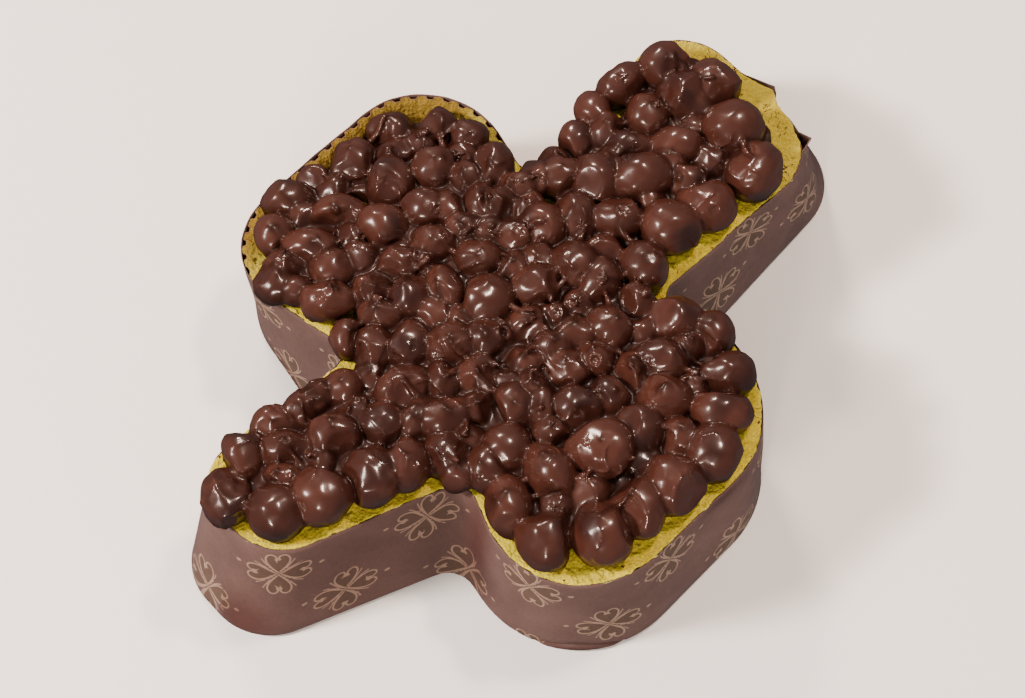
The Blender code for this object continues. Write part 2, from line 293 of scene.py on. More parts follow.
def printed_sheet():
    """Flat triangles of the wall, travel by height, and which ink each one carries."""
    grid = [(travel, height) for travel in np.linspace(0, WALL_LENGTH, 420)
            for height in np.concatenate(([0, 0.8, 1.6], np.linspace(3, CASE_HEIGHT, 20)))]
    grid += [(travel, height)
             for travel in np.arange(-1.2, 1.21, 0.05) * FOLD_HALF_LENGTH + FOLD_TRAVEL
             for height in np.arange(0.4, FOLD_RISE + 1.2, 0.4)]
    lines, petals = blossom_lines(), blossom_petals()
    dot = np.linspace((-DOT_LENGTH / 2, 1.35), (DOT_LENGTH / 2, 1.65), 4)
    caps = dot[[0, -1]] + ((-DOT_WIDTH / 2, 0), (DOT_WIDTH / 2, 0))
    print_points = []
    prints = []
    for centre, turn in blossom_centres():
        strokes = [(turned(line, turn), width) for line, width in lines]
        strokes += [(dot + (side * DOT_OFFSET, 0), DOT_WIDTH) for side in (-1, 1)]
        print_points += [caps + (side * DOT_OFFSET, 0) + centre for side in (-1, 1)]
        prints.append((centre, strokes, [turned(petal, turn) for petal in petals]))
        for line, width in strokes:
            print_points.append(stroke_sides(line, width) + centre)
    print_points = np.vstack(print_points)
    on_sheet = (print_points > 0.2).all(1)
    on_sheet &= (print_points < (WALL_LENGTH - 0.2, CASE_HEIGHT - 0.2)).all(1)
    flat = np.vstack((grid, print_points[on_sheet]))
    result = geometry.delaunay_2d_cdt([Vector(p) for p in flat], [], [], 0, 1e-4)
    places = np.array([tuple(p) for p in result[0]])
    faces = np.array([face for face in result[2] if len(face) == 3])
    middles = places[faces].mean(1)
    ink = np.zeros(len(faces), int)
    for centre, strokes, petals_here in prints:
        near = np.flatnonzero(np.abs(middles - centre).max(1) < DOT_OFFSET + 2 * DOT_LENGTH)
        local = middles[near] - centre
        for petal in petals_here:
            ink[near[inside_loop(local, petal)]] = 1
        for line, width in strokes:
            ink[near[near_line(local, line) < width / 2]] = 2
    return places, faces, ink


class Shading:
    """The few kinds of shader node that the paper, the crumb and the chocolate are made of."""

    def __init__(self, tree, place):
        self.nodes, self.links, self.place = tree.nodes, tree.links, place

    def noise(self, scale, detail, distortion=0.0):
        node = self.nodes.new("ShaderNodeTexNoise")
        node.inputs["Scale"].default_value = scale
        node.inputs["Detail"].default_value = detail
        node.inputs["Distortion"].default_value = distortion
        self.links.new(self.place, node.inputs["Vector"])
        return node.outputs["Fac"]

    def stored(self, name):
        """A value that the mesh carries at its points."""
        node = self.nodes.new("ShaderNodeAttribute")
        node.attribute_name = name
        return node.outputs["Fac"]

    def ranged(self, value, low, high, at_low=0.0, at_high=1.0):
        """A range of a value taken to another, which it doesn't leave."""
        node = self.nodes.new("ShaderNodeMapRange")
        for name, limit in (("From Min", low), ("From Max", high),
                            ("To Min", at_low), ("To Max", at_high)):
            node.inputs[name].default_value = limit
        self.links.new(value, node.inputs["Value"])
        return node.outputs["Result"]

    def maths(self, operation, *values):
        node = self.nodes.new("ShaderNodeMath")
        node.operation = operation
        for socket, value in zip(node.inputs, values):
            if isinstance(value, float):
                socket.default_value = value
            else:
                self.links.new(value, socket)
        return node.outputs[0]

    def blend(self, base, colour, mask, low, high, mode="MIX"):
        """One colour laid over another where a mask rises from low to high."""
        node = self.nodes.new("ShaderNodeMix")
        node.data_type = "RGBA"
        node.blend_type = mode
        self.links.new(self.ranged(mask, low, high), node.inputs["Factor"])
        for name, value in (("A", base), ("B", colour)):
            if isinstance(value, tuple):
                node.inputs[name].default_value = (*value, 1)
            else:
                self.links.new(value, node.inputs[name])
        return node.outputs["Result"]

    def bump(self, height, strength, distance, over=None, inverted=False):
        node = self.nodes.new("ShaderNodeBump")
        node.invert = inverted
        node.inputs["Strength"].default_value = strength
        node.inputs["Distance"].default_value = distance
        self.links.new(height, node.inputs["Height"])
        if over is not None:
            self.links.new(over, node.inputs["Normal"])
        return node.outputs["Normal"]


def new_material(name, settings):
    """A material with plain numbers set on its shader, and the means to add nodes to it."""
    mat = bpy.data.materials.new(name)
    mat.use_nodes = True
    shader = mat.node_tree.nodes["Principled BSDF"]
    for socket, value in settings.items():
        shader.inputs[socket].default_value = value
    place = mat.node_tree.nodes.new("ShaderNodeTexCoord").outputs["Object"]
    return mat, shader, Shading(mat.node_tree, place)


def paper_group():
    """Node group of the paper's mottle, grease stains, painted shade and grain, for the sheet, its
    inks and the liner.
    """
    group = bpy.data.node_groups.new("paper_fibres", "ShaderNodeTree")
    for name, way, kind in (("Place", "INPUT", "Vector"), ("Ink", "INPUT", "Color"),
                            ("Mottle", "INPUT", "Float"), ("Gloss", "INPUT", "Float"),
                            ("Colour", "OUTPUT", "Color"), ("Roughness", "OUTPUT", "Float"),
                            ("Normal", "OUTPUT", "Vector")):
        group.interface.new_socket(name, in_out=way, socket_type="NodeSocket" + kind)
    given, result = group.nodes.new("NodeGroupInput"), group.nodes.new("NodeGroupOutput")
    shading = Shading(group, given.outputs["Place"])

    def mottle(scale, detail, distortion, least, most):
        return shading.ranged(shading.noise(scale, detail, distortion), 0.3, 0.7, least, most)

    # Butter stains and painted shade darken the ink where the sheet carries them.
    greased = shading.stored("greased")
    stained_and_shaded = shading.blend(given.outputs["Ink"], GREASE_AND_SHADE_TINT, greased, 0, 1, "MULTIPLY")
    clouds = mottle(34, 3, 0.6, 0.86, 1.16)
    tone = group.nodes.new("ShaderNodeMix")
    tone.inputs["A"].default_value = 1.0
    group.links.new(given.outputs["Mottle"], tone.inputs["Factor"])
    fine = mottle(900, 2, 0, 0.93, 1.07)
    group.links.new(shading.maths("MULTIPLY", clouds, fine), tone.inputs["B"])
    shade = group.nodes.new("ShaderNodeVectorMath")
    shade.operation = "SCALE"
    group.links.new(stained_and_shaded, shade.inputs[0])
    group.links.new(tone.outputs["Result"], shade.inputs["Scale"])
    roughness = shading.maths("MULTIPLY", given.outputs["Gloss"], mottle(120, 2, 0, 0.85, 1.2))
    group.links.new(shade.outputs["Vector"], result.inputs["Colour"])
    group.links.new(roughness, result.inputs["Roughness"])
    group.links.new(shading.bump(shading.noise(1500, 3), 0.12, 0.0002), result.inputs["Normal"])
    return group


paper_fibres = paper_group()


def paper_material(name, colour, roughness, mottle):
    """Glazed paper or an ink on it, mottled by the fibres and faintly grained."""
    mat, shader, shading = new_material(
        name, {"Specular IOR Level": 0.06, "Coat Weight": 0.05, "Coat Roughness": 0.3})
    fibres = shading.nodes.new("ShaderNodeGroup")
    fibres.node_tree = paper_fibres
    fibres.inputs["Ink"].default_value = (*colour, 1)
    fibres.inputs["Mottle"].default_value = mottle
    fibres.inputs["Gloss"].default_value = roughness
    shading.links.new(shading.place, fibres.inputs["Place"])
    for output, socket in (("Colour", "Base Color"), ("Roughness", "Roughness"),
                           ("Normal", "Normal")):
        shading.links.new(fibres.outputs[output], shader.inputs[socket])
    return mat


def add_piece(name, vertices, faces, materials, slots=None):
    """Object from a mesh in millimetres, its faces set to their materials."""
    mesh = bpy.data.meshes.new(name)
    mesh.from_pydata((np.asarray(vertices, float) * MM).tolist(), [], faces)
    for mat in materials:
        mesh.materials.append(mat)
    if slots is not None:
        mesh.polygons.foreach_set("material_index", np.asarray(slots, np.int32))
    mesh.shade_smooth()
    obj = bpy.data.objects.new(name, mesh)
    bpy.context.scene.collection.objects.link(obj)
    return obj


def store_values(obj, **values):
    """Gives the mesh values at its points, for its material to read."""
    for name, value in values.items():
        stored = obj.data.attributes.new(name, "FLOAT", "POINT")
        stored.data.foreach_set("value", np.ascontiguousarray(value, np.float32))


def thicken(obj, thickness, offset):
    solid = obj.modifiers.new("thickness", "SOLIDIFY")
    solid.thickness = thickness * MM
    solid.offset = offset


def sheet_mesh(inks):
    """The printed wall bent round the outline, its seam closed, over the glued-in base."""
    flat, faces, ink = printed_sheet()
    travel, height = flat[:, 0], flat[:, 1]
    rim_share = smooth_step((height - 34) / 18)
    risen = height - (CASE_HEIGHT - rim_height(travel)) * rim_share
    places = wall_places(travel, risen, sheet_inset(travel, risen))
    obj = add_piece("paper_sheet", places, faces.tolist(), inks, ink)
    # Butter stains, and painted shade in the neck notch and over the head's wall.
    greased = sum(most * np.exp(-((travel - at) / wide) ** 2 - ((height - up) / tall) ** 2)
                  for at, up, wide, tall, most in GREASE_AND_SHADE_PATCHES)
    store_values(obj, greased=np.clip(greased, 0, 1))
    shape = bmesh.new()
    shape.from_mesh(obj.data)
    bmesh.ops.remove_doubles(shape, verts=shape.verts, dist=0.00002)
    foot = [edge for edge in shape.edges
            if edge.is_boundary and max(v.co.z for v in edge.verts) < 0.0003]
    base = bmesh.ops.contextual_create(shape, geom=foot)["faces"]
    bmesh.ops.triangulate(shape, faces=base)
    bmesh.ops.recalc_face_normals(shape, faces=shape.faces)
    shape.to_mesh(obj.data)
    shape.free()
    obj.data.shade_smooth()
    thicken(obj, SHEET_THICKNESS, -1)
    return obj


paper_sheet = sheet_mesh([
    paper_material("glazed_brown_paper", GLAZED_BROWN, 0.42, 1.0),
    paper_material("olive_brown_petal_ink", OLIVE_BROWN, 0.45, 1.0),
    paper_material("pale_beige_outline_ink", PALE_BEIGE, 0.4, 0.8),
])
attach(paper_sheet, "root")
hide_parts("paper_case")


# The liner inside the printed sheet: a strip of brown baking paper pressed into even upright
# flutes, glued to the sheet along its crests, with its rim cut a little lower than the sheet's.

FLUTE_PITCH = 6.3
FLUTE_DEPTH = 1.35
LINER_THICKNESS = 0.3
# How far its rim lies under the sheet's, where the crumb has spilled over it and where it shows
LINER_DROP = (2.6, 0.3)
# Stretches of the wall where the crumb stays inside the liner: start, end and how clearly
OPEN_RIMS = ((247, 278, 0.8), (547, 705, 1.0))
LINER_BROWN = (0.12, 0.06, 0.036)


def flute(travel):
    """How far the liner stands off the sheet, from 0 on a crest to 1 in a trough."""
    swing = 0.5 - 0.5 * wave(travel, round(WALL_LENGTH / FLUTE_PITCH), 0.5 * wave(travel, 7))
    return smooth_step((swing - 0.38) / 0.4)


def open_rim(travel):
    """Where the crumb stays inside the liner, 1, and where it has spilled over it, 0."""
    travel = travel % WALL_LENGTH
    share = np.zeros(len(travel))
    for start, end, most in OPEN_RIMS:
        rise = smooth_step((travel - start) / 14) * smooth_step((end - travel) / 14)
        share = np.maximum(share, rise * most)
    return share


def liner_top(travel):
    uneven = 0.15 * wave(travel, 41) + 0.1 * wave(travel, 226)
    return rim_height(travel) - lerp(*LINER_DROP, open_rim(travel)) - uneven


def ring_faces(rings, count):
    """Quads between rings of points, one above another, each ring closed on itself."""
    return [(r * count + k, r * count + (k + 1) % count,
             (r + 1) * count + (k + 1) % count, (r + 1) * count + k)
            for r in range(rings - 1) for k in range(count)]


def liner_mesh():
    """The fluted strip, its crests against the sheet."""
    travel = np.arange(0, WALL_LENGTH - 0.2, 0.45)
    behind_sheet = SHEET_THICKNESS + 0.25 + FLUTE_DEPTH * flute(travel)
    rings = []
    for share in (0.03, 0.3, 0.6, 0.8, 0.92, 1.0):
        height = liner_top(travel) * share
        inset = sheet_inset(travel, height, 0) + behind_sheet + 1.2 * (share < 0.5)
        rings.append(wall_places(travel, height, inset))
    material = paper_material("brown_baking_paper", LINER_BROWN, 0.6, 1.0)
    faces = ring_faces(len(rings), len(travel))
    obj = add_piece("paper_liner", np.vstack(rings), faces, [material])
    thicken(obj, LINER_THICKNESS, 0)
    return obj


paper_liner = liner_mesh()
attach(paper_liner, "root")


# The crumb: soft yellow dough baked in the case and left uncut. It has spilled over the liner
# along the front, sunk at the back of the rear wing and stuck to the flutes there; its skin is
# granular, open-pored, sugary and flecked with bits of dark crust.

CRUMB_BELOW_RIM = 0.9
CRUMB_SWELL = 3.5
CRUMB_SWELL_REACH = 24.0
SINK_DEPTH = 9.0
SINK_MIDDLE = (-4.0, 39.0)
SINK_SPREAD = (50.0, 60.0)
# Spacing of points round the rim, the width of the closely made band there, and the spacing inside
CRUMB_STEP = 0.45
CRUMB_BAND = 17.0
CRUMB_INNER_STEP = 2.4
CRUMB_FLOOR = 1.6
CRUMB_EDGE = dove_outline(1, 3.5, COARSE_ARC)
# Where the skin has cracked and browned
CRUST_SPOTS = (
    (116.7, 9.9), (116.1, 6.5), (114.7, 0.5), (116.6, 41.1), (120.1, 28.8), (106.0, -12.0),
    (103.0, -14.4), (47.6, -18.9), (22.3, -63.8), (33.5, -78.2),
)
BUTTER_YELLOW = (0.45, 0.36, 0.020)
PALE_YELLOW = (0.475, 0.377, 0.028)
PAINTED_LIGHT_ON_GRAIN_TIPS = (0.495, 0.40, 0.030)
PAINTED_SHADE_IN_GRAIN_PITS = (0.43, 0.325, 0.028)
WARM_YELLOW = (0.40, 0.28, 0.038)
PAINTED_SHADE_OCHRE = (0.235, 0.19, 0.024)
BAKED_AND_SHADED_BROWN = (0.145, 0.092, 0.013)
CRUST_BROWN = (0.07, 0.03, 0.012)
CRACK_BROWN = (0.05, 0.022, 0.01)


def depth_inside(points, outline):
    """How far each point lies inside a closed outline, negative outside it."""
    closed = np.vstack((outline, outline[:1]))
    depths = []
    for start in range(0, len(points), 20000):
        part = points[start:start + 20000]
        nearest = near_line(part, closed)
        depths.append(np.where(inside_loop(part, outline), nearest, -nearest))
    return np.concatenate(depths)


def crumb_height(points):
    """Height of the crumb's top: a low swell that has sunk at the back of the rear wing."""
    depth = np.maximum(depth_inside(points, CRUMB_EDGE), 0)
    swell = CRUMB_SWELL * (1 - np.exp(-depth / CRUMB_SWELL_REACH))
    sink_x = np.exp(-((points[:, 0] - SINK_MIDDLE[0]) / SINK_SPREAD[0]) ** 2)
    sink = SINK_DEPTH * sink_x * smooth_step((points[:, 1] - SINK_MIDDLE[1]) / SINK_SPREAD[1])
    return CASE_HEIGHT - CRUMB_BELOW_RIM + swell - sink


def soft_noise(points, size, seed):
    """Smooth noise from -1 to 1 whose lumps are about the given size."""
    table = np.random.default_rng(seed).uniform(-1, 1, (32, 32, 32))
    scaled = np.asarray(points) / size + 1000
    cell = np.floor(scaled).astype(int)
    share = smooth_step(scaled - cell)
    total = np.zeros(len(scaled))
    for corner in np.ndindex(2, 2, 2):
        weight = np.prod(np.where(np.array(corner) == 1, share, 1 - share), axis=1)
        x, y, z = ((cell + corner) % 32).T
        total += weight * table[x, y, z]
    return total


def crumb_grain(points):
    """Lumps and pores of the crumb's skin, in millimetres."""
    lumps = 0.36 * soft_noise(points, 3.6, 1) + 0.32 * soft_noise(points, 1.8, 2)
    grains = 0.3 * soft_noise(points, 1.0, 3)
    pores = np.clip(soft_noise(points, 1.6, 4) - 0.4, 0, 1) * -2.4
    return lumps + grains + pores


def crumb_side(travel, opening):
    """Rings of the crumb's side from its floor to its ragged edge, and that edge's top and inset."""
    from_tear = travel - TEAR_TRAVEL
    bare = np.maximum(opening, smooth_step((TEAR_HALF_WIDTH + 5 - np.abs(from_tear)) / 3))
    rim = wall_places(travel, rim_height(travel, False), 0)
    ragged = 0.45 * soft_noise(rim, 2.6, 5) + 0.25 * soft_noise(rim, 1.1, 6)
    spilled = rim[:, 2] + 0.2 + 0.5 * soft_noise(rim, 3.4, 7)
    edge_top = lerp(spilled, liner_top(travel) + 0.1, opening)
    follows = 0.62 * (from_tear > 0)
    shrunk = 0.8 * np.interp(from_tear, (-16, -11, -6), (0, 1, 0))
    against_sheet = sheet_inset(travel, edge_top, follows) + SHEET_THICKNESS + shrunk
    edge_inset = against_sheet + lerp(ragged, 0.05 + FLUTE_DEPTH * flute(travel), opening)
    tucked = np.maximum(edge_inset, against_sheet + 0.1) + 0.7 * opening
    rings = [wall_places(travel, np.full(len(travel), CRUMB_FLOOR), 3.4)]
    for below in (9, 6.5, 5, 3):
        height = edge_top - below
        behind_sheet = sheet_inset(travel, height, follows) + SHEET_THICKNESS + 0.3 + shrunk
        rings.append(wall_places(travel, height, lerp(3.4, behind_sheet, bare)))
    rings += [wall_places(travel, edge_top - below, inset)
              for below, inset in ((1.3, tucked), (0.6, tucked), (0.2, edge_inset))]
    return rings, edge_top, edge_inset


def crumb_band(travel, opening, edge_top, edge_inset):
    """Rings of the crumb's top from its edge inwards, close enough to carry its grain."""
    rings = []
    for depth in np.concatenate((np.arange(0.3, 8, 0.45), np.arange(8, CRUMB_BAND, 0.9))):
        inset = lerp(edge_inset + depth, 2.2 + depth, smooth_step(depth / 2.2))
        ring = wall_places(travel, np.full(len(travel), CASE_HEIGHT), inset)
        settle = smooth_step((depth + 0.3) / lerp(5, 9, opening))
        brim = 0.5 * (1 - opening) * math.exp(-depth / 4)
        rough = lerp(lerp(0.7, 0.15, opening), 1, smooth_step(depth / 2.5))
        ring[:, 2] = lerp(edge_top, crumb_height(ring[:, :2]) + brim, settle)
        ring[:, 2] += crumb_grain(ring) * rough
        rings.append(ring)
    return rings


def crumb_middle(edge):
    """The top inside the innermost ring: its new points, and the faces over all of them."""
    hole = edge[::4, :2]
    low, high = hole.min(0), hole.max(0)
    inner = np.array([(x, y) for x in np.arange(low[0], high[0], CRUMB_INNER_STEP)
                      for y in np.arange(low[1], high[1], CRUMB_INNER_STEP)])
    inner = inner[depth_inside(inner, hole) > 1.2]
    points = [Vector(p) for p in np.vstack((edge[:, :2], inner))]
    result = geometry.delaunay_2d_cdt(points, [], [list(range(len(edge)))], 1, 1e-6)
    middle = np.array([tuple(p) for p in result[0]])[len(edge):]
    return np.column_stack((middle, crumb_height(middle))), result[2]


def crumb_mesh():
    """Side, band, middle and floor in one, and where the skin is crusted and cracked, and where it is
    browned by the bake and darkened by painted shade.

    Where the innermost ring crosses itself at a tight corner, the middle isn't sewn to it: small
    slits that stay open there, 16 to 18 mm inside the rim, lie under the topping.
    """
    travel = np.arange(0, WALL_LENGTH - CRUMB_STEP / 2, CRUMB_STEP)
    opening = open_rim(travel)
    rings, edge_top, edge_inset = crumb_side(travel, opening)
    rings += crumb_band(travel, opening, edge_top, edge_inset)
    middle, middle_faces = crumb_middle(rings[-1])
    count = len(travel)
    last_ring = (len(rings) - 1) * count
    faces = ring_faces(len(rings), count)
    faces += [[last_ring + corner for corner in face] for face in middle_faces]
    faces.append(list(range(count))[::-1])
    points = np.vstack((*rings, middle))
    obj = add_piece("crumb", points, faces, [crumb_material()])
    (x, y), inside = points[:, :2].T, depth_inside(points[:, :2], dove_outline(1, 0, COARSE_ARC))
    cracked = sum(np.exp(-(np.hypot(x - at_x, y - at_y) / 3.2) ** 4) for at_x, at_y in CRUST_SPOTS)
    # Darker towards the rear wing's back and the tail's end: browning from the bake at the very back,
    # and painted shade.
    rear = 0.5 * smooth_step((y - 38) / 25) + 0.5 * smooth_step((y - 68) / 14)
    tail = 0.32 * smooth_step((x - 75) / 30)
    store_values(obj, crust=0.4 * np.exp(-(inside / 1.6) ** 4), cracked=cracked,
                 baked=np.maximum(rear, tail))
    return obj


def crumb_material():
    """Matt, soft and translucent, with painted highlights and shade on its grains, browned by the
    bake at the back of the rear wing, and darkened by painted shade over the rear wing and at the
    tail.
    """
    mat, shader, shading = new_material("soft_yellow_crumb", {
        "Roughness": 0.8, "Specular IOR Level": 0.08, "Subsurface Weight": 0.6,
        "Subsurface Scale": 0.0034, "Subsurface Radius": (1.0, 0.8, 0.3)})
    cells = shading.nodes.new("ShaderNodeTexVoronoi")
    cells.feature = "SMOOTH_F1"
    cells.inputs["Scale"].default_value = 950
    cells.inputs["Smoothness"].default_value = 0.5
    shading.links.new(shading.place, cells.inputs["Vector"])
    grains, baked = cells.outputs["Distance"], shading.stored("baked")
    crusted = shading.maths("MULTIPLY_ADD", shading.stored("crust"), 0.1, shading.noise(300, 3))
    crack = shading.maths("COMPARE", shading.noise(230, 3), 0.5, 0.014)
    cracks = shading.maths("MULTIPLY", crack, shading.stored("cracked"))
    colour = shading.blend(BUTTER_YELLOW, PALE_YELLOW, shading.noise(170, 2), 0.45, 0.62)
    # Painted highlights on the grains' tips and painted shade in the pits between them.
    colour = shading.blend(PAINTED_LIGHT_ON_GRAIN_TIPS, colour, grains, 0.05, 0.35)
    colour = shading.blend(colour, PAINTED_SHADE_IN_GRAIN_PITS, grains, 0.5, 0.8)
    colour = shading.blend(colour, WARM_YELLOW, shading.noise(420, 3), 0.60, 0.74)
    # Painted shade over the rear wing and the tail's end, with browning from the bake at the rear
    # wing's back.
    colour = shading.blend(colour, PAINTED_SHADE_OCHRE, baked, 0, 0.5)
    colour = shading.blend(colour, BAKED_AND_SHADED_BROWN, baked, 0.5, 1.0)
    colour = shading.blend(colour, CRUST_BROWN, crusted, 0.72, 0.75)
    colour = shading.blend(colour, CRACK_BROWN, cracks, 0.35, 0.6)
    shading.links.new(colour, shader.inputs["Base Color"])
    relief = shading.bump(grains, 0.7, 0.0008, inverted=True)
    shading.links.new(relief, shader.inputs["Normal"])
    return mat


crumb = crumb_mesh()
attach(crumb, "root")
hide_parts("cake")


# The topping: whole hazelnuts rolled in melted chocolate and pressed close together on the
# crumb. The chocolate has set glossy, run together in the hollows and left ridges and threads.

# How high a nut's middle stands over the crumb, as a share of its size, and at least
NUT_LIFT = 0.38
NUT_LEAST_LIFT = 5.5
NUT_TALLNESS = 0.95
COAT_THICKNESS = 0.8
LAYER_INSET = 10.0
LAYER_THICKNESS = 5.8
# Nuts lower down: how closely their places are tried, the least hollow for one, and their depth
FILLER_STEP = 2.5
FILLER_GAP = 2.6
FILLER_SINK = 1.4
# Shares of the nuts whose coat has set with no, one and two flattened sides
FACET_SHARES = (0.1, 0.4, 0.5)
# How softly neighbours run together, and the grid in which they do
MELT = 0.55
VOXEL = 0.62
TOPPING_TRIANGLES = 190000
# Bare spots between the nuts: x, y and radius
CRUMB_SHOWS = ((-25, 68.5, 3.0), (27, 27, 2.0))
THREAD_REACH = 23
THREAD_SHARE = 0.2
WRINKLE_SHARE = 0.5
RING_DENTS = ((-17, -6.5), (1, -33))
NUT_RIM = dove_outline(1, 0, COARSE_ARC)
DARK_COAT = (0.0232, 0.0063, 0.0036)
LIGHT_COAT = (0.0365, 0.0108, 0.0065)
MILKY_PATCH = (0.045, 0.0148, 0.0095)
DARK_PATCH = (0.0154, 0.004, 0.0025)
PAINTED_CREASE_SHADE = (0.0141, 0.004, 0.0024)
PAINTED_LOW_SHADE = (0.012, 0.0031, 0.0018)
# Every nut seen from above, from the rear wing to the front: x and y of its middle, its length
# and width, and its turn in degrees where that isn't the usual one
USUAL_TURN = 142
NUTS = (
    (-55.5, 74.5, 14.5, 12.5, 57), (-43, 85, 17.5, 13.5), (-30, 87.5, 11.5, 9.5),
    (-15, 83.5, 18, 17), (4, 87, 16, 13.5), (17.5, 77, 14.5, 13), (-66.5, 58.5, 13.5, 13),
    (-60, 61, 13, 12), (-61.5, 50.5, 11, 10), (-48.5, 61, 19.5, 12.5), (-32.5, 67, 18, 12.5),
    (-10.5, 66.5, 15.5, 18.5), (4.7, 62, 15, 16.5), (23.5, 65, 12, 13.5), (-48, 50, 15, 13, 167),
    (-37.5, 48, 10.5, 9.5), (-24, 53, 16, 14.5), (-9, 49.5, 14.5, 14), (-2, 44, 10, 12),
    (11, 51, 10, 11.5), (22, 49.5, 13, 16.5), (64, 45.5, 12, 15), (79.5, 48, 19.5, 14, 2),
    (96, 43, 19, 18), (-59, 26.5, 15, 9.5, 57), (-56.2, 40.8, 19, 13.2), (-45.5, 25.5, 14.5, 9.5),
    (-42, 35, 12.5, 11), (-33.5, 25, 13, 15), (-28.5, 36.5, 13, 9.5), (-21.5, 32.5, 9, 9),
    (-15, 36, 14.5, 12), (-3, 34.5, 12.5, 9.5, 162), (8, 38.5, 14.5, 10.5, 57),
    (13, 34.5, 11, 12.5), (21, 28, 10.5, 10.5), (23.5, 37, 12, 12), (31, 35.5, 12, 12.5, 162),
    (37.5, 31, 13.5, 15), (40, 38.5, 10.5, 9.5, 172), (51.5, 40, 11.5, 13.5), (62, 35.5, 12, 13.5),
    (64.5, 25, 15.5, 12), (77.5, 31, 13.5, 16), (92.5, 29, 20, 16), (105, 26.5, 18, 16, 122),
    (-112, 11.5, 18, 12.5, 57), (-98.5, 14.5, 14, 12.5), (-87.5, 12.5, 12.5, 12),
    (-72, 10.8, 12.5, 12.5), (-77.6, 13.5, 11, 10.5), (-82, 12.8, 9.5, 9.5),
    (-55.5, 16.5, 16, 12, 57), (-44.5, 10, 14, 15.5), (-22.5, 19.5, 16, 11, 67),
    (-6, 21.5, 14.5, 13), (1.5, 12, 9, 9), (9, 21, 13, 9.5), (19.5, 18.5, 16.5, 14.5, 62),
    (31.5, 13.5, 17.5, 12, 57), (46, 21.5, 16, 18.5), (56, 23.5, 10.5, 12),
    (58, 12, 22, 15.5, 152), (68, 10, 14, 9, 152), (77.5, 15, 17.5, 13.5, 152),
    (-125, 2.5, 19.5, 15, 57), (-106.5, -4, 11, 9), (-100, 4, 16, 12), (-84.5, -2, 16.5, 14.5),
    (-69.5, -8, 14, 12.5), (-56, -2, 18, 13.5, 177), (-34.5, 0.5, 15, 15.5), (-26, 6.5, 9, 9.5),
    (-23.5, -4.5, 13, 12), (-17, -6.5, 8, 8), (-14.5, 7, 18.5, 17), (2, 0, 16.5, 15.5),
    (18, -0.5, 16, 16), (29, -1.5, 14.5, 10.5, 132), (41.5, 4.5, 19, 13), (55, 2.5, 10, 10),
    (70.5, 3, 15.5, 12.5), (97.5, 7.5, 21.5, 18.5, 152), (-115.5, -12.5, 17.5, 17.5),
    (-100, -17, 18.5, 19), (-84, -21.5, 17.5, 19), (-60, -13.5, 14, 9.5, 22),
    (-51.5, -19.5, 18, 12, 162), (-44, -8.5, 13.5, 9.5, 57), (-41, -23.5, 10.5, 8.5, 177),
    (-33.5, -14.5, 13.5, 14), (-26.5, -21, 8.5, 8.5), (-17.5, -20.5, 12, 10), (-9, -10, 14, 13),
    (-7, -21, 13, 11), (1.5, -22, 15.5, 11.5), (9.5, -13, 9.5, 9.5), (20.5, -11, 17, 13.5, 22),
    (37, -15, 16, 16.5), (54.2, -9.7, 20.4, 18.5), (69.5, -10.5, 19.5, 17.5),
    (92, -10.2, 21.9, 17.7, 22), (-72, -25, 15, 17), (-59.5, -30, 14, 14.5),
    (-60, -37.5, 11.5, 10.5), (-51.5, -41.5, 12.5, 15.5), (-49.5, -30, 8.5, 8.5),
    (-42, -40, 15, 15), (-31, -30.5, 13.5, 15.5), (-24.5, -36.5, 13.5, 10, 57),
    (-21.5, -29, 11.5, 10), (-9, -30.5, 16, 11.5), (1, -33, 12, 12), (12, -27, 15.5, 14.5),
    (26.5, -24.5, 13.5, 12.5), (32, -38, 19, 15.5), (-27, -45.5, 12.5, 9.5),
    (-15, -44, 15.5, 13.5), (-3, -47, 11.5, 11.5), (8, -45, 12, 13), (18, -47, 17.5, 14),
    (29.5, -48, 11.5, 11), (38.7, -49.5, 15.8, 15.3), (-54.5, -57, 19.5, 13.5, 57),
    (-36.5, -56, 20.5, 14.5, 77), (-19, -60.5, 21.5, 19), (-3.5, -63, 14.5, 17),
    (10, -59, 17.5, 14.5), (33, -64, 18.3, 14.6), (-52.5, -74, 20.5, 18, 57),
    (-36.5, -84, 20, 20.5), (-21.5, -83.5, 21, 16.5, 62), (-7.5, -85, 19, 19),
    (4.5, -72.5, 14, 13), (10, -83.5, 18, 18), (22, -74.5, 19.5, 16),
)


def filler_nuts(nuts):
    """Nuts that lie deeper, wherever those seen leave a hollow between them."""
    low, high = NUT_RIM.min(0), NUT_RIM.max(0)
    spots = np.array([(x, y) for x in np.arange(low[0], high[0], FILLER_STEP)
                      for y in np.arange(low[1], high[1], FILLER_STEP)])
    spots = spots[depth_inside(spots, NUT_RIM) > LAYER_INSET + 4]
    for x, y, radius in CRUMB_SHOWS:
        spots = spots[np.hypot(*(spots - (x, y)).T) > radius + 5]
    fillers = []
    radii = np.sqrt(nuts[:, 2] * nuts[:, 3]) / 2
    clearance = (np.linalg.norm(spots[:, None] - nuts[:, :2], axis=2) - radii).min(1)
    while clearance.max() > FILLER_GAP:
        spot, gap = spots[clearance.argmax()], clearance.max()
        radius = max(gap + 2.2, 5.0)
        fillers.append((*spot, 2 * radius, 2 * radius, 0))
        clearance = np.minimum(clearance, np.linalg.norm(spots - spot, axis=1) - radius)
    return np.array(fillers)


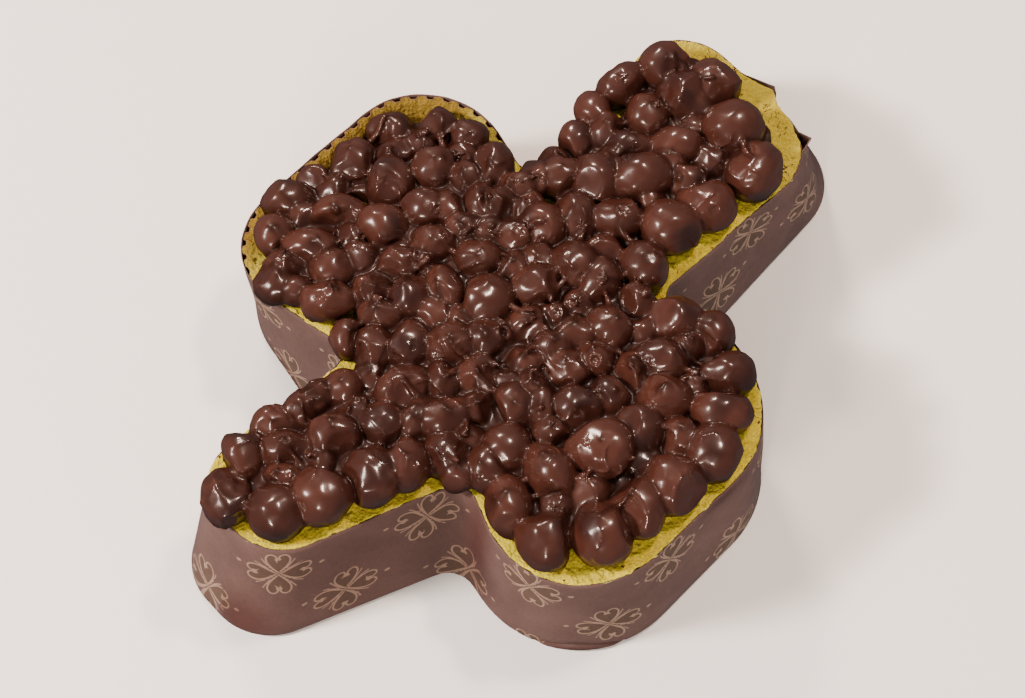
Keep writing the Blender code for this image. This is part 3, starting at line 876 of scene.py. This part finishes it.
def nut_shapes():
    """Middle, half-sizes and turn of every nut."""
    seen = np.array([(*nut, USUAL_TURN)[:5] for nut in NUTS], float)
    nuts = np.vstack((seen, filler_nuts(seen)))
    shapes = []
    for index, (nut, ground) in enumerate(zip(nuts, crumb_height(nuts[:, :2]))):
        x, y, length, width, turn = nut
        mean = math.sqrt(length * width)
        lift = max(mean * NUT_LIFT, NUT_LEAST_LIFT) - FILLER_SINK * (index >= len(seen))
        middle = np.array((x, y, ground + lift))
        radii = np.array((length, width, mean * NUT_TALLNESS)) / 2 + COAT_THICKNESS
        shapes.append((middle, radii, np.array(Matrix.Rotation(math.radians(turn), 3, "Z"))))
    return shapes


class Melt:
    """Grid in which the nuts, the layer and the threads run together."""

    def __init__(self, low, high):
        self.low = np.array(low, float)
        self.shape = np.ceil((np.array(high) - low) / VOXEL).astype(int) + 1
        self.near = np.zeros(self.shape, np.float32)
        self.tone = np.zeros(self.shape, np.float32)
        self.most = np.zeros(self.shape, np.float32)

    def window(self, low, high):
        start = np.clip(np.floor((low - self.low) / VOXEL).astype(int), 0, self.shape - 1)
        end = np.clip(np.ceil((high - self.low) / VOXEL).astype(int) + 1, 1, self.shape)
        axes = [self.low[k] + np.arange(start[k], end[k]) * VOXEL for k in range(3)]
        points = np.stack(np.meshgrid(*axes, indexing="ij"), axis=-1)
        return tuple(slice(a, b) for a, b in zip(start, end)), points

    def add(self, low, high, distance, tone):
        """Adds a form, given its signed distance, within a box wide enough for it to fade out."""
        part, points = self.window(low - 5 * MELT, high + 5 * MELT)
        pull = np.exp(-np.clip(distance(points), -12 * MELT, None) / MELT)
        self.near[part] += pull
        self.tone[part] += pull * tone
        self.most[part] = np.maximum(self.most[part], pull)

    def distance(self):
        return -MELT * np.log(self.near + 1e-9)


def nut_distance(middle, radii, turn, lean, facets):
    """Signed distance to an egg-like nut, whose coat may be flattened on its sides to ridges."""
    def distance(points):
        local = (points - middle) @ turn
        taper = 1 + lean * np.clip(local[..., 0] / radii[0], -1, 1)
        local[..., 1:] *= taper[..., None]
        size = np.sqrt(((local / radii) ** 2).sum(-1)) + 1e-6
        slope = np.sqrt(((local / radii ** 2) ** 2).sum(-1)) + 1e-6
        nut = size * (size - 1) / slope
        for facing, cut in facets:
            flat = ((local / radii) @ facing - cut) * radii.min()
            nut = 0.22 * np.logaddexp(nut / 0.22, flat / 0.22)
        return nut
    return distance


def direction(around, rise):
    """Unit vector at an angle round the vertical and a rise over the level."""
    level = math.cos(rise)
    return np.array((math.cos(around) * level, math.sin(around) * level, math.sin(rise)))


def draw_facets(draw):
    """Directions in which a nut's coat is flattened, each with the share of its radius left."""
    return [(direction(draw.uniform(0, 2 * math.pi), math.radians(draw.uniform(5, 55))),
             draw.uniform(0.66, 0.87))
            for _ in range(draw.choice(3, p=FACET_SHARES))]


def draw_wrinkles(draw, shapes):
    """Middles and radii of the patches of wrinkled chocolate on some of the nuts."""
    patches = []
    for middle, radii, _ in shapes:
        if draw.random() < WRINKLE_SHARE:
            around, rise = draw.uniform(0, 2 * math.pi), math.radians(draw.uniform(25, 80))
            spot = middle + direction(around, rise) * radii.mean()
            patches.append((spot, draw.uniform(1.8, 3.4)))
    return patches


def in_patches(points, patches):
    """How far points lie in round patches, from 0 outside to 1 in the middle."""
    share = np.zeros(len(points))
    for middle, radius in patches:
        near = np.flatnonzero(np.abs(points - middle).max(1) < radius)
        apart = np.linalg.norm(points[near] - middle, axis=1)
        share[near] = np.maximum(share[near], smooth_step((1 - apart / radius) * 2))
    return share


def thread_distance(path, radius):
    """Signed distance to a tapering thread of chocolate."""
    def distance(points):
        nearest = np.full(points.shape[:3], 1e3)
        for index, (start, end) in enumerate(zip(path, path[1:])):
            along = end - start
            share = np.clip((points - start) @ along / (along @ along), 0, 1)
            apart = np.linalg.norm(points - start - along * share[..., None], axis=-1)
            place = (index + share) / (len(path) - 1)
            nearest = np.minimum(nearest, apart - radius * (0.45 + 0.55 * np.sin(math.pi * place)))
        return nearest
    return distance


def add_threads(melt, shapes, draw):
    """Sagging threads and ridges of chocolate drawn from nut to nut."""
    middles = np.array([middle for middle, _, _ in shapes])
    for first in range(len(middles)):
        apart = np.linalg.norm(middles - middles[first], axis=1)
        others = (apart < THREAD_REACH) & (np.arange(len(middles)) > first)
        for second in np.flatnonzero(others):
            if draw.random() > THREAD_SHARE:
                continue
            a, b = middles[first], middles[second]
            across = np.array((b[1] - a[1], a[0] - b[0], 0)) / apart[second]
            side = draw.uniform(-4, 4)
            up = np.array((0, 0, shapes[first][1][2] * 0.93))
            ends = (a + up + across * side * 0.6, b + up + across * side)
            sag = np.array((0, 0, draw.uniform(4, 8)))
            share = np.linspace(0, 1, 9)[:, None]
            path = lerp(ends[0], ends[1], share) - sag * np.sin(math.pi * share) ** 1.5
            path = path + across * draw.uniform(-1.5, 1.5) * np.sin(2 * math.pi * share)
            form = thread_distance(path, draw.uniform(0.6, 1.1))
            melt.add(path.min(0) - 2, path.max(0) + 2, form, draw.uniform(0, 1))


def add_layer(melt, points, ground):
    """The chocolate run together on the crumb, inside the rim and round the bare spots."""
    flat = points[:, :, 0, :2]
    outline = dove_outline(1, LAYER_INSET, COARSE_ARC)
    inside = depth_inside(flat.reshape(-1, 2), outline).reshape(flat.shape[:2])
    for x, y, radius in CRUMB_SHOWS:
        inside = np.minimum(inside, np.hypot(flat[..., 0] - x, flat[..., 1] - y) - radius)
    layer = np.maximum(points[..., 2] - ground - LAYER_THICKNESS, 2 - inside[..., None])
    pull = np.exp(-np.clip(layer, -6, None) / MELT).astype(np.float32)
    melt.near += pull
    melt.tone += 0.3 * pull
    melt.most = np.maximum(melt.most, pull)


def roughen(distance, points, patches, shapes):
    """Swells, wrinkles, ridges and ring-shaped dents in the chocolate's surface."""
    band = np.abs(distance) < 2.5
    places = points[band]
    swell = 0.7 * soft_noise(places, 6.5, 21) + 0.28 * soft_noise(places, 2.9, 22)
    creases = np.clip(0.35 - np.abs(soft_noise(places, 1.9, 24)), 0, 1)
    distance[band] += swell - in_patches(places, patches) * creases * 2.2
    ridges = np.exp(-(soft_noise(places, 8.5, 25) / 0.075) ** 2)
    distance[band] -= 0.55 * ridges * np.clip(soft_noise(places, 11, 26) * 4, 0, 1)
    for x, y in RING_DENTS:
        middle, radii, _ = min(shapes, key=lambda nut: math.hypot(nut[0][0] - x, nut[0][1] - y))
        apart = np.linalg.norm(places - middle - direction(-2.2, 1.1) * radii, axis=1)
        rise = 0.7 * np.exp(-((apart - 2.1) / 0.6) ** 2)
        distance[band] += 1.1 * np.exp(-(apart / 1.2) ** 2) - rise


def topping_mesh():
    """Nuts, threads and layer run together into one skin that rests on the crumb."""
    shapes = nut_shapes()
    draw = np.random.default_rng(11)
    middles = np.array([middle for middle, _, _ in shapes])
    melt = Melt((*(middles.min(0)[:2] - 14), 38), (*(middles.max(0)[:2] + 14), 74))
    for middle, radii, turn in shapes:
        reach = np.full(3, radii.max() + 2.5)
        form = nut_distance(middle, radii, turn, draw.uniform(-0.14, 0.14), draw_facets(draw))
        melt.add(middle - reach, middle + reach, form, draw.uniform(0, 1))
    add_threads(melt, shapes, draw)
    _, points = melt.window(melt.low, melt.low + melt.shape * VOXEL)
    flat = points[:, :, 0, :2].reshape(-1, 2)
    ground = crumb_height(flat).reshape(points.shape[:2])[..., None]
    from_rim = depth_inside(flat, NUT_RIM).reshape(points.shape[:2])[..., None]
    add_layer(melt, points, ground)
    distance = melt.distance()
    patches = draw_wrinkles(draw, shapes)
    roughen(distance, points, patches, shapes)
    support = np.where(from_rim < 3.2, CASE_HEIGHT + 0.15, ground - 1.4)
    grid = openvdb.FloatGrid()
    grid.copyFromArray(np.maximum(distance, support - points[..., 2]).astype(np.float32))
    corners, _, quads = grid.convertToPolygons(0.0, 0.0)
    corners = corners.astype(float)
    index = np.clip(np.rint(corners).astype(int), 0, melt.shape - 1)
    tone, most = ((held / (melt.near + 1e-9))[tuple(index.T)] for held in (melt.tone, melt.most))
    places = corners * VOXEL + melt.low
    over_crumb = corners[:, 2] * VOXEL + melt.low[2] - ground[index[:, 0], index[:, 1], 0]
    material = chocolate_material()
    obj = add_piece("chocolate_coated_nuts", places, quads[:, ::-1].tolist(), [material])
    store_values(obj, coat_tone=tone, over_crumb=over_crumb, merged=1 - most,
                 wrinkled=in_patches(places, patches))
    thinner = obj.modifiers.new("thinner", "DECIMATE")
    thinner.ratio = min(1, TOPPING_TRIANGLES / (2 * len(quads)))
    return obj


def chocolate_material():
    """Set chocolate: glossy where it faces the eye, duller low down and where it has run together,
    with painted shade in its creases and near the crumb.
    """
    mat, shader, shading = new_material("set_chocolate", {
        "Roughness": 0.42, "Specular IOR Level": 0.13, "Coat Roughness": 0.17, "Coat IOR": 1.45})
    facing = shading.nodes.new("ShaderNodeLayerWeight")
    facing.inputs["Blend"].default_value = 0.5
    over_crumb, merged = shading.stored("over_crumb"), shading.stored("merged")
    faced = shading.ranged(facing.outputs["Facing"], 0.45, 0.8, 1.0, 0.02)
    gloss = shading.maths("MULTIPLY", faced, shading.ranged(over_crumb, 4.5, 8))
    gloss = shading.maths("MULTIPLY", gloss, shading.ranged(merged, 0.04, 0.32, 1.0, 0.12))
    shading.links.new(gloss, shader.inputs["Coat Weight"])
    colour = shading.blend(DARK_COAT, LIGHT_COAT, shading.stored("coat_tone"), 0.1, 0.9)
    colour = shading.blend(colour, MILKY_PATCH, shading.noise(90, 2), 0.55, 0.75)
    colour = shading.blend(colour, DARK_PATCH, shading.noise(60, 1), 0.55, 0.72)
    # Painted shade in the creases where the nuts run together.
    colour = shading.blend(colour, PAINTED_CREASE_SHADE, merged, 0.08, 0.5)
    # Painted shade low down, near the crumb.
    colour = shading.blend(PAINTED_LOW_SHADE, colour, over_crumb, 4.5, 9)
    shading.links.new(colour, shader.inputs["Base Color"])
    ridges = shading.maths("MULTIPLY", shading.noise(600, 1), shading.stored("wrinkled"))
    wrinkles = shading.bump(ridges, 0.7, 0.0008)
    relief = shading.bump(shading.noise(220, 0), 0.2, 0.0005, over=wrinkles)
    for socket in ("Normal", "Coat Normal"):
        shading.links.new(relief, shader.inputs[socket])
    return mat


topping = topping_mesh()
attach(topping, "root")
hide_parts("chocolate_hazelnuts")


# Where the bread stands: a pale floor in studio light. The key lamp stands on the left, four small
# lamps are mirrored in the chocolate as its glints, and three broad ones at the front and on the
# right fill the shade.

FLOOR_COLOUR = (0.72, 0.69, 0.65, 1)
KEY_WHITE = (1, 0.97, 0.94)
KEY_GLINT = (1, 0.8, 0.7)
WARM_GLINT = (1, 0.76, 0.64)
FILL_WHITE = (1, 0.98, 0.96)
# Each lamp's place to the right of the bread, above it in the picture and towards the camera, in
# metres, its size, power and colour, and whether the chocolate mirrors it
LAMPS = {
    "key": ((-1.25, 0.3, 1.15), (0.4, 0.3), 40, KEY_WHITE, False),
    "key_glint": ((-1.25, 0.3, 1.15), (0.2, 0.14), 36, KEY_GLINT, True),
    "top_glint": ((0.45, 0.85, 1.05), (0.18, 0.11), 19, WARM_GLINT, True),
    "rear_glint": ((-0.4, 1.3, 0.5), (0.25, 0.14), 18, WARM_GLINT, True),
    "front_glint": ((-0.3, -0.8, 1.25), (0.14, 0.1), 11.5, WARM_GLINT, True),
    "front_fill": ((1.5, -1.0, 1.2), (1.2, 0.8), 12.5, FILL_WHITE, False),
    "camera_fill": ((0.2, -0.5, 1.6), (1.0, 0.7), 8.5, FILL_WHITE, False),
    "side_fill": ((1.5, -0.5, 0.5), (0.8, 0.5), 5, FILL_WHITE, False),
}
# The camera looks from this side and height at this point, fitted to the case's outline
CAMERA_AZIMUTH = -38
CAMERA_ELEVATION = 63
CAMERA_DISTANCE = 0.72
CAMERA_TARGET = (-0.016, -0.010, 0.052)
FOCAL_PIXELS = 2110
FRAME_PIXELS = 1025
SENSOR_WIDTH = 36


def add_floor():
    mesh = bpy.data.meshes.new("floor")
    mesh.from_pydata([(-2, -2, 0), (2, -2, 0), (2, 2, 0), (-2, 2, 0)], [], [(0, 1, 2, 3)])
    mat = bpy.data.materials.new("pale_floor")
    mat.use_nodes = True
    shader = mat.node_tree.nodes["Principled BSDF"]
    shader.inputs["Base Color"].default_value = FLOOR_COLOUR
    shader.inputs["Roughness"].default_value = 0.8
    mesh.materials.append(mat)
    floor = bpy.data.objects.new("floor", mesh)
    bpy.context.scene.collection.objects.link(floor)
    floor.visible_glossy = False


def add_lamp(name, place, size, power, colour, mirrored):
    light = bpy.data.lights.new(name, "AREA")
    light.color = colour
    light.shape = "RECTANGLE"
    light.size, light.size_y = size
    light.energy = power
    lamp = bpy.data.objects.new(name, light)
    lamp.visible_glossy = mirrored
    lamp.location = place
    lamp.rotation_euler = (-Vector(place)).to_track_quat("-Z", "Y").to_euler()
    bpy.context.scene.collection.objects.link(lamp)


def camera_frame():
    """Directions of the camera's right, up and back."""
    turn, rise = math.radians(CAMERA_AZIMUTH), math.radians(CAMERA_ELEVATION)
    level = math.cos(rise)
    back = Vector((math.sin(turn) * level, -math.cos(turn) * level, math.sin(rise)))
    right = Vector((math.cos(turn), math.sin(turn), 0))
    return right, back.cross(right), back


def add_camera(right, up, back):
    camera = bpy.data.objects.new("camera", bpy.data.cameras.new("camera"))
    camera.location = Vector(CAMERA_TARGET) + back * CAMERA_DISTANCE
    camera.rotation_euler = Matrix((right, up, back)).transposed().to_euler()
    camera.data.sensor_width = SENSOR_WIDTH
    camera.data.lens = FOCAL_PIXELS * SENSOR_WIDTH / FRAME_PIXELS
    camera.data.clip_start = 0.01
    bpy.context.scene.collection.objects.link(camera)
    bpy.context.scene.camera = camera


add_floor()
right, up, back = camera_frame()
add_camera(right, up, back)
for name, ((across, above, towards), size, power, colour, mirrored) in LAMPS.items():
    add_lamp(name, right * across + up * above + back * towards, size, power, colour, mirrored)

world = bpy.data.worlds.new("studio")
world.use_nodes = True
world.node_tree.nodes["Background"].inputs["Color"].default_value = (0.95, 0.97, 1, 1)
world.node_tree.nodes["Background"].inputs["Strength"].default_value = 0.2
bpy.context.scene.world = world
